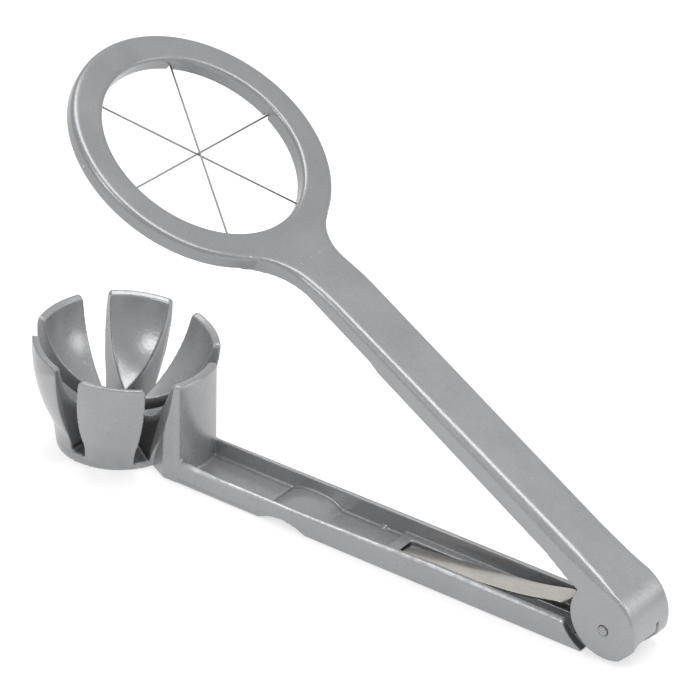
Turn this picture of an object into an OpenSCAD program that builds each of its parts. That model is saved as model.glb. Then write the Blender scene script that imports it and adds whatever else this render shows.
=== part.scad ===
// Egg wedger: a cup with six petals on a channel arm, and a ring with three wires on a hinged handle.
// The origin is the centre of the cup's foot on the table, +X runs to the hinge, +Z is up.

/* [Arms] */
// distance from the centre of the cup's foot to the hinge axis
reach = 161; // [154:0.5:170]
// height of the hinge axis above the table
hinge_z = 8.9; // [8.7:0.1:9.6]
// angle between the arms as the tool stands open
open_deg = 31.3; // [24:0.1:36]
// width over the outside of both arms
arm_w = 17; // [16.6:0.1:18]

/* [Cup] */
// lean of the cup's axis towards the hinge
cup_tilt = 5.5; // [4:0.1:6.5]
// outer radius of the cup's foot on the table
foot_r = 16.9; // [16:0.1:17.6]
// height of the foot below the petals' long curve
foot_h = 7; // [6.4:0.1:7.6]
// outer radius of the rim
rim_r = 25.1; // [24.6:0.1:25.4]
// height of the rim along the cup's axis
rim_h = 31.6; // [30:0.1:33]
// radius of the long curve on the outside of the petals
flare_r = 46.7; // [43:0.1:52]
// radius of the round bowl that holds the egg
bowl_r = 23.3; // [22.7:0.1:23.5]
// height of the bowl's centre along the cup's axis
bowl_z = 34.4; // [33.6:0.1:35.2]
// width of a slot at its floor
slot_low_w = 4.5; // [4.2:0.1:5]
// width of a slot at the rim
slot_top_w = 7.7; // [7.2:0.1:8.2]
// height of the slots' floor along the cup's axis
slot_floor = 3.1; // [2.5:0.1:4]
// rounding of the upper corners of the petals
petal_round = 1.2; // [0.8:0.1:1.8]
// slope of the rim down into the bowl in degrees
rim_slope = 22; // [16:0.5:26]

/* [Post] */
// radius of the post's round face
post_r = 25.6; // [25.3:0.05:26]
// rounding of the post's upright corners
post_edge = 1.2; // [0.8:0.1:1.6]
// how far the post stands out past each side of the channel
post_proud = 0.15; // [0.1:0.05:0.3]
// start of the post's full width
post_full_x = 22.4; // [21.5:0.1:23]
// half width of the post where it meets the cup's foot
post_root_w = 5.1; // [4.6:0.1:5.4]

/* [Channel] */
// height of the channel's side walls
wall_h = 6.7; // [6.2:0.1:7]
// thickness of the side walls
wall_t = 1.5; // [1.2:0.1:1.8]
// floor thickness next to the post
floor_post = 2; // [1.6:0.1:2.4]
// floor thickness in the middle of the arm
floor_mid = 1.2; // [1:0.1:1.5]
// floor thickness beside the spring
floor_seat = 2.5; // [2.4:0.1:3]
// place of the arch across the floor
arch_x = 61; // [58:0.5:66]
// height of the arch's underside
arch_rise = 2; // [1.6:0.1:2.4]
// length of the arch's underside along the arm
arch_len = 15; // [13:0.5:18]
// thickness of the arched floor
arch_t = 1.6; // [1.3:0.1:1.9]
// start of the raised floor that holds the spring
seat_x = 90.5; // [86:0.5:92]
// clearance between the ends of the side walls and the cheeks as the tool closes
wall_gap = 1.65; // [1:0.05:2]

/* [Spring] */
// width of the leaf spring
spring_w = 7.2; // [6.6:0.1:8]
// thickness of the leaf spring
spring_t = 0.6; // [0.4:0.05:0.7]
// distance of the spring's heel from the hinge axis
heel_back = 69.4; // [69:0.1:69.7]
// length of the heel that is tucked under the floor
heel_tuck = 2.7; // [2.4:0.1:3]
// slope of the spring at its heel in degrees
heel_slope = 8.3; // [7.8:0.1:8.8]
// distance of the spring's tip from the hinge axis
tip_back = 14.8; // [14.4:0.1:15.4]
// height of the spring's tip
tip_z = 8.35; // [8:0.05:8.5]
// floor of the spring's pocket above the table
pocket_z = 0.75; // [0.6:0.05:0.9]

/* [Hinge] */
// radius of the hinge pin
pin_r = 1.3; // [1.1:0.05:1.5]
// radial clearance of the pin in the lower arm
pin_play = 0.05; // [0.03:0.01:0.08]
// radius of the knuckle on the lower arm
knuckle_r = 6.7; // [6.3:0.1:6.8]
// thickness of each cheek of the upper arm
cheek_t = 2.1; // [1.9:0.1:2.3]
// radius of the cheeks' round edge
cheek_r = 10.75; // [10.5:0.05:10.95]
// height of the middle of the cheeks' round edge above the hinge
cheek_z = 2.77; // [2.6:0.01:3]
// the same point's distance behind the hinge
cheek_x = 0.87; // [0.6:0.01:1.1]
// clearance between the knuckle and the upper arm
knuckle_gap = 0.3; // [0.25:0.05:0.4]

/* [Handle] */
// radius of the handle's rounded end
end_r = 12.5; // [12.2:0.1:12.8]
// rounding of the handle's upper edges
edge_r = 2.4; // [1.6:0.1:3]
// height of the handle's top above the hinge line at the neck
neck_top = 9.2; // [8.8:0.1:9.6]
// height of the handle's underside above the hinge line
under_n = 3.95; // [3.8:0.05:4.2]
// extra height of the underside towards the ring
under_step = 0.65; // [0.3:0.05:0.9]
// place of the step in the underside along the arm
step_s = 86; // [80:0.5:92]

/* [Ring] */
// how far the closed ring's centre lies from the cup's foot towards the hinge
ring_lead = 2.1; // [1.6:0.1:2.4]
// radius of the ring's opening
ring_in_r = 28; // [27.8:0.1:28.5]
// outer radius of the ring
ring_out_r = 36.3; // [35.5:0.1:38]
// height of the ring's underside above the hinge line
ring_low = 2.2; // [2:0.1:2.6]
// thickness of the ring
ring_t = 4.6; // [4.2:0.1:5]
// radius of the fillets between ring and handle
neck_r = 14.7; // [12:0.1:16]

/* [Wires] */
// radius of a cutting wire
wire_r = 0.25; // [0.2:0.01:0.3]
// radius of an anchor peg
peg_r = 1.2; // [1:0.05:1.4]
// length of an anchor peg
peg_l = 2.7; // [2.4:0.1:3]

/* [Display] */
// sub-part to draw

/* [Hidden] */
$fn = 96;
eps = 0.02;
far = 60;
half_w = arm_w / 2;
cast_grey = [0.62, 0.63, 0.65];
spring_steel = [0.72, 0.69, 0.64];
wire_steel = [0.6, 0.6, 0.6];

// rim and foot of the cup
lip_r = 0.5;
lip_c = rim_r - lip_r;
lip_z = rim_h - lip_r;
brow_x = lip_c - lip_r * sin(rim_slope);
brow_z = lip_z + lip_r * cos(rim_slope);
foot_top_r = rim_r - flare_r + sqrt(pow(flare_r, 2) - pow(rim_h - foot_h, 2));
foot_lean = (foot_top_r - foot_r) / foot_h;
foot_sunk = 4;

// post, whose round face stands under the rim
ring_s = reach - ring_lead;
post_side = half_w + post_proud;
post_taper = 7;
face_x = lip_z * sin(cup_tilt);
corner_y = post_side - post_edge;
corner_turn = asin(corner_y / (post_r - post_edge));
corner_x = face_x + (post_r - post_edge) * cos(corner_turn);

// knuckle and cheeks
knuckle_w = arm_w - 2 * cheek_t - 2 * knuckle_gap;
cavity_w = arm_w - 2 * cheek_t;
cavity_r = knuckle_r + knuckle_gap;
foot_back = 8;
web_back = 10;
foot_end = 2;
foot_play = 1;
stop_x = 1.5;
web_low = -2.2;
web_round = 1.5;
web_inset = 0.2;
close_deg = 32;
fixed_play = 0.02;
pin_end = 0.1;

// channel
inner_w = arm_w - 2 * wall_t;
pocket_w = spring_w + 1.6;
pocket_x = reach - heel_back + heel_tuck;
shoulder_x = reach - 17;
notch_r = (arch_len * arch_len / 4 + arch_rise * arch_rise) / (2 * arch_rise);
arch_cut_z = arch_rise - notch_r;
tuck_roof = pocket_z + spring_t + 0.62;
tuck_side = 0.25;
nub_x = 84;
nub_r = 0.8;
nub_h = 0.6;

// spring line: places of its bends along the arm and the heights there
heel_x = reach - heel_back;
rise_x = reach - 44;
sag_x = reach - 30;
lift_x = reach - 19.5;
tip_x = reach - tip_back;
heel_z = pocket_z + eps + spring_t / 2;
rise_z = tip_z * 0.503;
sag_z = tip_z * 0.593;
lift_z = tip_z * 0.862;

// handle
end_s = 3.06;
end_n = -1.9;
edge_crease = 0.05;
neck_s = 101;
tilt_run = neck_s - end_s;
tilt_rise = neck_top - end_n;
top_deg = asin(end_r / norm([tilt_run, tilt_rise])) - atan2(tilt_rise, tilt_run);
ring_top = ring_low + ring_t;
neck_d = sqrt(pow(ring_out_r + neck_r, 2) - pow(half_w + neck_r, 2));
tangent_k = ring_out_r / (ring_out_r + neck_r);
neck_end_s = ring_s - neck_d * tangent_k;
neck_side = (half_w + neck_r) * tangent_k;
ramp_s = neck_end_s - 2;
ramp_run = 19;
ramp_deg = atan((neck_top - 0.1 - ring_top) / ramp_run);
neck_edge = 1.8;
neck_crease = 0.1;
ring_edge = 1.4;
ring_edge_low = 0.9;
bore_edge = 0.8;
flank_s = 16;
flank_n = under_n - 0.75;
heel_flat = 8.55;
under_ramp = 2;

// toe that presses the spring
toe_r = 1.4;
toe_s = 14.1;
toe_n = -2.2;
toe_w = 2.2;

// wires
wire_step = 2 * wire_r + 0.01;
wire_n = ring_low + wire_r + 0.05;
groove_play = 0.05;
peg_c = (ring_in_r + ring_out_r) / 2;

function curve(a, b, ma, mb, t) =
  (2 * t * t * t - 3 * t * t + 1) * a + (t * t * t - 2 * t * t + t) * ma
  + (-2 * t * t * t + 3 * t * t) * b + (t * t * t - t * t) * mb;

bend_x = [heel_x, rise_x, sag_x, lift_x, tip_x];
bend_z = [heel_z, rise_z, sag_z, lift_z, tip_z];
bend_m = [tan(heel_slope), 0.03, 0.1, 0.32, -0.05];
bend_steps = 10;

function leaf_span(i) = bend_x[i + 1] - bend_x[i];
function leaf_mid(i, t) = [
  bend_x[i] + t * leaf_span(i),
  curve(bend_z[i], bend_z[i + 1], bend_m[i] * leaf_span(i), bend_m[i + 1] * leaf_span(i), t)
];
leaf_line = concat(
  [for (i = [0 : 3]) for (k = [0 : bend_steps - 1]) leaf_mid(i, k / bend_steps)],
  [[tip_x, tip_z]]
);
leaf_last = len(leaf_line) - 1;
function leaf_dir(k) =
  let (d = leaf_line[min(k + 1, leaf_last)] - leaf_line[max(k - 1, 0)])
  d / norm(d);
function leaf_off(k, h) = leaf_line[k] + h * [-leaf_dir(k)[1], leaf_dir(k)[0]];

// the tilted frame of the cup
module cup_frame() {
  rotate([0, cup_tilt, 0])
    children();
}

// the upper arm's own frame: X from the hinge to the ring, Z up from the hinge line
module arm_frame() {
  translate([reach, 0, hinge_z])
    rotate([0, open_deg, 0])
      rotate([0, 0, 180])
        children();
}

// a flat side view stood up across the arm
module across(w) {
  rotate([90, 0, 0])
    linear_extrude(height = w, center = true)
      children();
}

// a table-level side view about the hinge, turned into the upper arm's frame
module level_view() {
  rotate(-open_deg)
    mirror([1, 0])
      children();
}

module cup_outline() {
  difference() {
    union() {
      intersection() {
        translate([rim_r - flare_r, rim_h])
          circle(r = flare_r, $fn = 180);
        translate([0, slot_floor])
          square([rim_r + 1, rim_h - slot_floor]);
      }
      polygon([
        [0, -foot_sunk],
        [foot_r - foot_sunk * foot_lean, -foot_sunk],
        [foot_top_r, foot_h],
        [0, foot_h]
      ]);
    }
    polygon([
      [0, brow_z - brow_x * tan(rim_slope)],
      [brow_x, brow_z],
      [lip_c, lip_z],
      [rim_r + 2, lip_z],
      [rim_r + 2, rim_h + 2],
      [0, rim_h + 2]
    ]);
  }
  translate([lip_c, lip_z])
    circle(r = lip_r, $fn = 48);
}

module slot_outline() {
  top_half = slot_top_w / 2;
  low_half = slot_low_w / 2;
  difference() {
    union() {
      polygon([
        [-low_half, slot_floor],
        [low_half, slot_floor],
        [top_half, rim_h - petal_round],
        [-top_half, rim_h - petal_round]
      ]);
      translate([-top_half - petal_round, rim_h - petal_round - eps])
        square([slot_top_w + 2 * petal_round, far]);
    }
    for (side = [-1, 1])
      translate([side * (top_half + petal_round), rim_h - petal_round])
        circle(r = petal_round);
  }
}

module slots() {
  for (a = [0 : 60 : 120])
    rotate([0, 0, a])
      across(2 * far)
        slot_outline();
}

module post_cap() {
  rotate_extrude()
    polygon([
      [0, -far],
      [far, -far],
      [far, rim_h + rim_r - far],
      [rim_r, rim_h],
      [lip_c, lip_z],
      [0, lip_z - lip_c * tan(rim_slope)]
    ]);
}

module post_plan() {
  wide = far * sin(corner_turn);
  long = far * cos(corner_turn);
  polygon([
    [0, -post_root_w],
    [post_full_x - post_taper, -post_root_w],
    [post_full_x, -post_side],
    [corner_x, -post_side],
    [corner_x, post_side],
    [post_full_x, post_side],
    [post_full_x - post_taper, post_root_w],
    [0, post_root_w]
  ]);
  for (side = [-1, 1])
    translate([corner_x, side * corner_y])
      circle(r = post_edge, $fn = 48);
  translate([face_x, 0])
    intersection() {
      circle(r = post_r, $fn = 144);
      polygon([[0, 0], [long, -wide], [long, wide]]);
    }
}

module post_block() {
  intersection() {
    linear_extrude(height = far)
      post_plan();
    cup_frame()
      post_cap();
  }
}

module cup() {
  difference() {
    union() {
      cup_frame()
        rotate_extrude($fn = 144)
          cup_outline();
      post_block();
    }
    cup_frame()
      translate([0, 0, bowl_z])
        sphere(r = bowl_r, $fn = 144);
    cup_frame()
      slots();
    translate([-far, -far, -far])
      cube([2 * far, 2 * far, far]);
  }
}

module channel_cut(from, to, level) {
  translate([from, -inner_w / 2, level])
    cube([to - from, inner_w, far]);
}

module channel() {
  wall_end = reach - 6;
  arch_start = arch_x - arch_len / 2 + 1;
  difference() {
    union() {
      difference() {
        translate([post_full_x, -half_w, 0])
          cube([wall_end - post_full_x, arm_w, wall_h]);
        channel_cut(post_full_x - 1, arch_start, floor_post);
        channel_cut(arch_start - eps, seat_x, floor_mid);
        channel_cut(seat_x - eps, wall_end + 1, floor_seat);
      }
      intersection() {
        translate([arch_x, 0, arch_cut_z])
          rotate([90, 0, 0])
            cylinder(r = notch_r + arch_t, h = inner_w + eps, center = true, $fn = 180);
        translate([arch_start, -half_w, 0])
          cube([arch_len + 6, arm_w, wall_h]);
      }
      translate([nub_x, inner_w / 2, 0])
        cylinder(r = nub_r, h = floor_mid + nub_h, $fn = 24);
    }
    translate([arch_x, 0, arch_cut_z])
      rotate([90, 0, 0])
        cylinder(r = notch_r, h = 2 * arm_w, center = true, $fn = 180);
    translate([reach, 0, hinge_z])
      rotate([90, 0, 0])
        rotate(close_deg)
          translate([cheek_x, cheek_z])
            cylinder(r = cheek_r + wall_gap, h = 2 * arm_w, center = true);
  }
}

module knuckle() {
  intersection() {
    union() {
      translate([reach, 0, hinge_z])
        rotate([90, 0, 0])
          cylinder(r = knuckle_r, h = knuckle_w, center = true);
      across(knuckle_w)
        polygon([
          [shoulder_x, 0],
          [reach - foot_back, 0],
          [reach - foot_end, hinge_z - knuckle_r + 0.3],
          [reach, hinge_z],
          [reach - knuckle_r + 0.2, hinge_z],
          [reach - knuckle_r - 0.6, 2 * floor_seat],
          [reach - web_back, floor_seat],
          [shoulder_x, floor_seat]
        ]);
    }
    translate([0, -far, 0])
      cube([reach + far, 2 * far, far]);
  }
}

module spring_room() {
  translate([pocket_x, -pocket_w / 2, pocket_z])
    cube([reach - knuckle_r - 1.2 - pocket_x, pocket_w, far]);
  translate([heel_x - tuck_side, -spring_w / 2 - tuck_side, pocket_z])
    cube([heel_tuck + 2 * tuck_side, spring_w + 2 * tuck_side, tuck_roof - pocket_z]);
}

module lower_arm() {
  color(cast_grey)
    difference() {
      union() {
        cup();
        channel();
        knuckle();
      }
      spring_room();
      translate([reach, 0, hinge_z])
        rotate([90, 0, 0])
          cylinder(r = pin_r + pin_play, h = 2 * arm_w, center = true, $fn = 48);
    }
}

module handle_section() {
  inner = half_w - edge_r + edge_crease;
  wide = half_w + edge_r;
  translate([-wide, -end_r])
    square([2 * wide, 2 * end_r - edge_r]);
  translate([-inner, -end_r])
    square([2 * inner, 2 * end_r]);
  for (side = [-1, 1])
    translate([side * inner, end_r - edge_r])
      circle(r = edge_r, $fn = 48);
}

module handle_bar() {
  translate([end_s, 0, end_n])
    rotate([0, top_deg, 0])
      rotate([90, 0, 90])
        linear_extrude(height = neck_end_s - end_s)
          handle_section();
}

module handle_end() {
  inner = half_w - edge_r + edge_crease;
  wide = half_w + 2 * edge_r;
  translate([end_s, 0, end_n])
    rotate([90, 0, 0])
      rotate_extrude()
        union() {
          translate([0, -inner])
            square([end_r, 2 * inner]);
          translate([0, -wide])
            square([end_r - edge_r, 2 * wide]);
          for (side = [-1, 1])
            translate([end_r - edge_r, side * inner])
              circle(r = edge_r, $fn = 48);
        }
}

// bar and rounded end, trimmed to the arm's width
module handle() {
  intersection() {
    union() {
      handle_bar();
      handle_end();
    }
    cube([4 * reach, arm_w, 4 * reach], center = true);
  }
}

// waste beside the neck: a round cutter whose top flares to leave a rounded edge
module neck_waste() {
  rotate_extrude()
    difference() {
      translate([0, -far])
        square([neck_r + neck_edge, far + 20]);
      translate([neck_r, -far - 1])
        square([2 * neck_edge, far + 1 - neck_edge]);
      translate([neck_r + neck_edge, -neck_edge])
        circle(r = neck_edge, $fn = 48);
    }
}

module neck() {
  start = ring_s - neck_d;
  top = ring_top + (ramp_s - start) * tan(ramp_deg);
  difference() {
    translate([start, -neck_side, ring_low])
      cube([neck_end_s - start, 2 * neck_side, neck_top - ring_low]);
    for (side = [-1, 1])
      translate([start, side * (half_w + neck_r), top + neck_crease])
        rotate([0, ramp_deg, 0])
          neck_waste();
  }
}

// side view of the upper arm without the ring
module arm_outline() {
  polygon([
    [neck_end_s + 1, ring_low],
    [neck_end_s - 3, ring_low],
    [neck_end_s - 15, under_n + under_step],
    [step_s + under_ramp, under_n + under_step],
    [step_s - under_ramp, under_n],
    [flank_s + 7, under_n],
    [flank_s, flank_n],
    [-2 * end_r, flank_n],
    [-2 * end_r, 2 * end_r],
    [neck_end_s + 1, 2 * end_r]
  ]);
  difference() {
    level_view()
      translate([cheek_x, cheek_z])
        circle(r = cheek_r);
    level_view()
      rotate(-45)
        translate([heel_flat, -far])
          square([far, 2 * far]);
  }
}

module ring() {
  translate([ring_s, 0, 0])
    rotate_extrude($fn = 180)
      difference() {
        union() {
          translate([ring_in_r, ring_low])
            square([ring_out_r - ring_in_r - ring_edge, ring_t]);
          translate([ring_in_r, ring_low + ring_edge_low])
            square([ring_out_r - ring_in_r, ring_t - ring_edge - ring_edge_low]);
          translate([ring_out_r - ring_edge, ring_top - ring_edge])
            circle(r = ring_edge, $fn = 48);
          translate([ring_out_r - ring_edge_low, ring_low + ring_edge_low])
            circle(r = ring_edge_low, $fn = 48);
          translate([ring_out_r - ring_edge - eps, ring_low])
            square([ring_edge - ring_edge_low + eps, ring_edge_low]);
        }
        difference() {
          translate([ring_in_r - 1, ring_top - bore_edge])
            square([1 + bore_edge, bore_edge + 1]);
          translate([ring_in_r + bore_edge, ring_top - bore_edge])
            circle(r = bore_edge, $fn = 48);
        }
      }
}

module ramp_waste() {
  translate([ramp_s, -far, ring_top])
    rotate([0, ramp_deg, 0])
      translate([-far, 0, 0])
        cube([far + 10, 2 * far, far]);
}

// opening under the end web, seen along the arm
module web_notch() {
  inner = cavity_w / 2 - web_round - web_inset;
  translate([-inner, -far])
    square([2 * inner, far + web_low]);
  translate([-inner - web_round, -far])
    square([2 * (inner + web_round), far + web_low - web_round]);
  for (side = [-1, 1])
    translate([side * inner, web_low - web_round])
      circle(r = web_round, $fn = 48);
}

// room between the cheeks for the knuckle, open below
module knuckle_room() {
  across(cavity_w) {
    circle(r = cavity_r);
    translate([0, -far])
      square([flank_s + 10, far + under_n]);
    level_view()
      translate([-far, -far])
        square([far - foot_end + foot_play, far]);
  }
  rotate([0, 0, 180])
    rotate([0, -open_deg, 0])
      translate([stop_x, 0, 0])
        rotate([90, 0, 90])
          linear_extrude(height = far)
            web_notch();
}

module toe() {
  across(toe_w) {
    translate([toe_s, toe_n])
      circle(r = toe_r, $fn = 48);
    polygon([
      [toe_s - toe_r, toe_n],
      [toe_s + 0.7 * toe_r, toe_n - 0.7 * toe_r],
      [toe_s + 9, under_n + 0.5],
      [toe_s - toe_r, under_n + 1.5]
    ]);
  }
}

module wire_place(i) {
  translate([ring_s, 0, 0])
    rotate([0, 0, 30 + 60 * i])
      children();
}

module wire_grooves() {
  for (i = [0 : 2])
    wire_place(i)
      for (side = [-1, 1]) {
        top = wire_n + i * wire_step + wire_r + groove_play;
        translate([side * (ring_in_r + peg_c - 2) / 2, 0, top - far / 2])
          cube([peg_c - ring_in_r + 2, 2 * (wire_r + groove_play), far], center = true);
        translate([side * peg_c, 0, ring_low - 1])
          cylinder(r = peg_r + fixed_play, h = peg_l + 1 + fixed_play, $fn = 48);
      }
}

module upper_arm() {
  color(cast_grey)
    arm_frame() {
      difference() {
        union() {
          ring();
          difference() {
            intersection() {
              union() {
                handle();
                neck();
              }
              across(2 * far)
                arm_outline();
            }
            ramp_waste();
          }
        }
        knuckle_room();
        wire_grooves();
        rotate([90, 0, 0])
          cylinder(r = pin_r + fixed_play, h = 2 * arm_w, center = true, $fn = 48);
      }
      toe();
    }
}

module hinge_pin() {
  color(wire_steel)
    translate([reach, 0, hinge_z])
      rotate([90, 0, 0]) {
        cylinder(r = pin_r, h = arm_w, center = true, $fn = 48);
        cylinder(r = pin_r - 2 * pin_end, h = arm_w + 2 * pin_end, center = true, $fn = 48);
      }
}

module leaf_spring() {
  color(spring_steel)
    across(spring_w)
      polygon(concat(
        [for (k = [0 : leaf_last]) leaf_off(k, -spring_t / 2)],
        [for (k = [leaf_last : -1 : 0]) leaf_off(k, spring_t / 2)]
      ));
}

module wire(i) {
  color(wire_steel)
    arm_frame()
      wire_place(i)
        translate([0, 0, wire_n + i * wire_step])
          rotate([0, 90, 0])
            cylinder(r = wire_r, h = 2 * peg_c, center = true, $fn = 24);
}

module anchor(i, side) {
  color(wire_steel)
    arm_frame()
      wire_place(i)
        difference() {
          translate([side * peg_c, 0, ring_low])
            cylinder(r = peg_r, h = peg_l, $fn = 48);
          translate([side * (peg_c - peg_r), 0, wire_n + i * wire_step - far / 2 + wire_r + fixed_play])
            cube([2 * peg_r + 4 * fixed_play, 2 * (wire_r + fixed_play), far], center = true);
        }
}

module wire_1() {
  wire(0);
}

module wire_2() {
  wire(1);
}

module wire_3() {
  wire(2);
}

module anchor_1a() {
  anchor(0, 1);
}

module anchor_1b() {
  anchor(0, -1);
}

module anchor_2a() {
  anchor(1, 1);
}

module anchor_2b() {
  anchor(1, -1);
}

module anchor_3a() {
  anchor(2, 1);
}

module anchor_3b() {
  anchor(2, -1);
}

lower_arm();
upper_arm();
hinge_pin();
leaf_spring();
wire_1();
wire_2();
wire_3();
anchor_1a();
anchor_1b();
anchor_2a();
anchor_2b();
anchor_3a();
anchor_3b();
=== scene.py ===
import bpy
import math
from mathutils import Matrix, Vector


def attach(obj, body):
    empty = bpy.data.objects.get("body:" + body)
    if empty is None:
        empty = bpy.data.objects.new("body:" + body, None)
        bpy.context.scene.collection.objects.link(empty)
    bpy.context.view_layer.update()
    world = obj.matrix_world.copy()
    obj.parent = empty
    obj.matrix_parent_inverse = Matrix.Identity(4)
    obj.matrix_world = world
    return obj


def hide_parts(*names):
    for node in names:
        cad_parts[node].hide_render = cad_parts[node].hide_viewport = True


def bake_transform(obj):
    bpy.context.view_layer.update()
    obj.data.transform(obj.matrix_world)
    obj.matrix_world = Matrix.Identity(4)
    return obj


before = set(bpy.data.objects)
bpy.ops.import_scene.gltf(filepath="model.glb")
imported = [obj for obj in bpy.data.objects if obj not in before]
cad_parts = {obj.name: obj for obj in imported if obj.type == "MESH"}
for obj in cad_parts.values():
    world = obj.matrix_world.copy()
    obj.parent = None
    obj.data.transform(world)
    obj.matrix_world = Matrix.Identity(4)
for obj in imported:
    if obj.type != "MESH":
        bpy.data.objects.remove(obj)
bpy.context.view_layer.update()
print("frame loaded:", ", ".join(sorted(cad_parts)))

# Pieces are drawn in millimetres in their own frame and brought to metres when they are placed

acrossTurn = (math.pi / 2, 0, 0)  # lays a rod along Y
pastAll = 60.0  # further than any piece that a tool cuts


def pickNone():
    if bpy.context.mode != "OBJECT":
        bpy.ops.object.mode_set(mode="OBJECT")
    bpy.ops.object.select_all(action="DESELECT")


def pickOnly(*pieces):
    pickNone()
    for piece in pieces:
        piece.select_set(True)
    bpy.context.view_layer.objects.active = pieces[0]


def editAll(piece):
    pickOnly(piece)
    bpy.ops.object.mode_set(mode="EDIT")
    bpy.ops.mesh.select_all(action="SELECT")


def faceOut():
    bpy.ops.mesh.select_all(action="SELECT")
    bpy.ops.mesh.remove_doubles(threshold=0.0005)
    bpy.ops.mesh.normals_make_consistent(inside=False)
    bpy.ops.object.mode_set(mode="OBJECT")


def drawOutline(points, face=True):
    pickNone()
    bpy.ops.mesh.primitive_plane_add(size=1, location=points[0])
    piece = bpy.context.object
    bpy.ops.object.mode_set(mode="EDIT")
    bpy.ops.mesh.merge(type="CENTER")  # the plane shrinks to one vertex, the pen
    for here, there in zip(points, points[1:]):
        stroke = Vector(there) - Vector(here)
        bpy.ops.mesh.extrude_region_move(TRANSFORM_OT_translate={"value": stroke})
    if face:
        bpy.ops.mesh.select_all(action="SELECT")
        bpy.ops.mesh.edge_face_add()
    bpy.ops.object.mode_set(mode="OBJECT")
    bpy.ops.object.transform_apply()
    return piece


def pullOut(piece, way):
    editAll(piece)
    bpy.ops.mesh.extrude_region_move(TRANSFORM_OT_translate={"value": way})
    faceOut()
    return piece


def sideBlock(outline, width):  # a side view in X and Z, drawn on one side and pulled across
    points = [(x, -width / 2, z) for x, z in outline]
    return pullOut(drawOutline(points), (0, width, 0))


def planBlock(outline, low, high):  # a top view in X and Y, pulled up
    points = [(x, y, low) for x, y in outline]
    return pullOut(drawOutline(points), (0, 0, high - low))


def beamBlock(outline, start, stop):  # a cross section in Y and Z, pulled along X
    points = [(start, y, z) for y, z in outline]
    return pullOut(drawOutline(points), (stop - start, 0, 0))


def drawLoop(points):
    piece = drawOutline(points)
    editAll(piece)
    bpy.ops.mesh.delete(type="ONLY_FACE")
    bpy.ops.object.mode_set(mode="OBJECT")
    return piece


def bridged(loops):  # closed loops bridged one after the other into a skin, with both ends filled
    piece, count = drawLoop(loops[0]), len(loops[0])
    for step, points in enumerate(loops[1:]):
        piece = joined(piece, drawLoop(points))
        editAll(piece)
        bpy.ops.mesh.select_mode(type="VERT")
        bpy.ops.mesh.select_all(action="DESELECT")
        bpy.ops.object.mode_set(mode="OBJECT")
        for vertex in piece.data.vertices[step * count:]:
            vertex.select = True
        bpy.ops.object.mode_set(mode="EDIT")
        bpy.ops.mesh.bridge_edge_loops()
        bpy.ops.object.mode_set(mode="OBJECT")
    editAll(piece)
    bpy.ops.mesh.fill_holes(sides=0)
    faceOut()
    return piece


def turnedPiece(points, steps, centre=(0, 0, 0), axis=(0, 0, 1), closed=False):
    piece = drawOutline(points, face=closed)
    editAll(piece)
    if closed:
        bpy.ops.mesh.delete(type="ONLY_FACE")
        bpy.ops.mesh.select_all(action="SELECT")
    bpy.ops.mesh.spin(steps=steps, angle=2 * math.pi, center=centre, axis=axis)
    faceOut()
    return piece


def rod(radius, length, place, turn=(0, 0, 0), sides=64):
    pickNone()
    bpy.ops.mesh.primitive_cylinder_add(
        vertices=sides, radius=radius, depth=length, location=place, rotation=turn)
    bpy.ops.object.transform_apply()
    return bpy.context.object


def block(low, high):
    pickNone()
    bpy.ops.mesh.primitive_cube_add(size=1, location=[(a + b) / 2 for a, b in zip(low, high)])
    bpy.ops.transform.resize(value=[b - a for a, b in zip(low, high)])
    bpy.ops.object.transform_apply()
    return bpy.context.object


def turned(piece, degrees, axis):
    piece.matrix_world = Matrix.Rotation(math.radians(degrees), 4, axis) @ piece.matrix_world
    pickOnly(piece)
    bpy.ops.object.transform_apply()
    return piece


def useModifier(piece, kind, **settings):
    pickOnly(piece)
    bpy.ops.object.modifier_add(type=kind)
    step = piece.modifiers[-1]
    for name, value in settings.items():
        setattr(step, name, value)
    bpy.ops.object.modifier_apply(modifier=step.name)
    return piece


def carve(piece, tool, how="DIFFERENCE"):
    useModifier(piece, "BOOLEAN", object=tool, operation=how, solver="MANIFOLD")
    bpy.data.objects.remove(tool)
    return piece


def joined(*pieces):
    pickOnly(*pieces)
    bpy.ops.object.join()
    return bpy.context.object


def arc(centre, radius, start, end, steps):
    span = [start + (end - start) * k / steps for k in range(steps + 1)]
    return [(centre[0] + radius * math.cos(math.radians(a)), centre[1] + radius * math.sin(math.radians(a)))
            for a in span]


def softCorner(first, corner, last, steps=8):  # a corner rounded off between two points on its legs
    points = []
    for k in range(steps + 1):
        t = k / steps
        points.append(tuple((1 - t) ** 2 * a + 2 * t * (1 - t) * b + t ** 2 * c
                            for a, b, c in zip(first, corner, last)))
    return points


def blendStep(t):
    t = min(1.0, max(0.0, t))
    return t * t * (3 - 2 * t)


def between(marks, s):  # a value read off a line through marks
    for (a, first), (b, second) in zip(marks, marks[1:]):
        if s <= b:
            return first + (second - first) * max(0.0, (s - a) / (b - a))
    return marks[-1][1]


def countTriangles(piece):
    return sum(len(f.vertices) - 2 for f in piece.data.polygons)


def castSkin(piece, skin):  # one skin over the joined blocks, with the soft edges of a casting
    useModifier(piece, "REMESH", mode="VOXEL", voxel_size=skin["voxel"], use_smooth_shade=True)
    useModifier(piece, "SMOOTH", factor=skin["softness"], iterations=skin["passes"])
    if countTriangles(piece) > skin["budget"]:
        useModifier(piece, "DECIMATE", ratio=skin["budget"] / countTriangles(piece))
    return piece


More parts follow.
